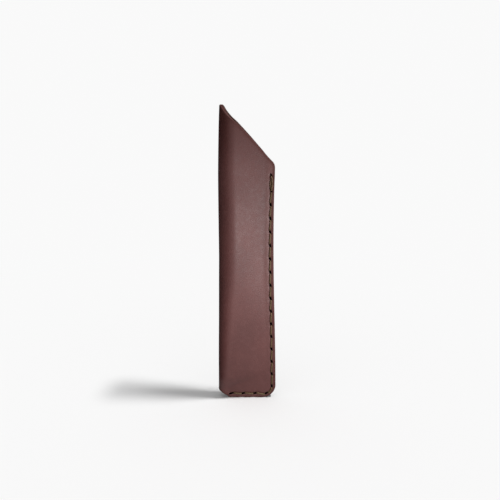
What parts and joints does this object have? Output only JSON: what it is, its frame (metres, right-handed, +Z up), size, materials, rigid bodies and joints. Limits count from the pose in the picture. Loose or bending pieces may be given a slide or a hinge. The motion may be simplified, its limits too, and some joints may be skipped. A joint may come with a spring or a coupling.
{
  "type": "pen sleeve",
  "caption": "Upright leather pen sleeve, folded along its left side and saddle stitched down the right side and along the bottom, with a slanted open mouth.",
  "frame": {"origin": "middle of the base: the centre of the bounding box at its lowest level", "axes": "+Z up along the sleeve, from its bottom seam to its tip; the fold is at -X, the stitched side at +X; the front face looks towards -Y"},
  "size_m": [0.0298, 0.0148, 0.1512],
  "materials": {
    "brown_leather": "satin, waxed, burnished edges",
    "waxed_thread": "waxed, olive brown",
    "contact_glue": "dried film"
  },
  "bodies": {
    "root": {"leather_wrap": "brown_leather", "saddle_thread": "waxed_thread", "seam_glue": "contact_glue"}
  },
  "joints": []
}
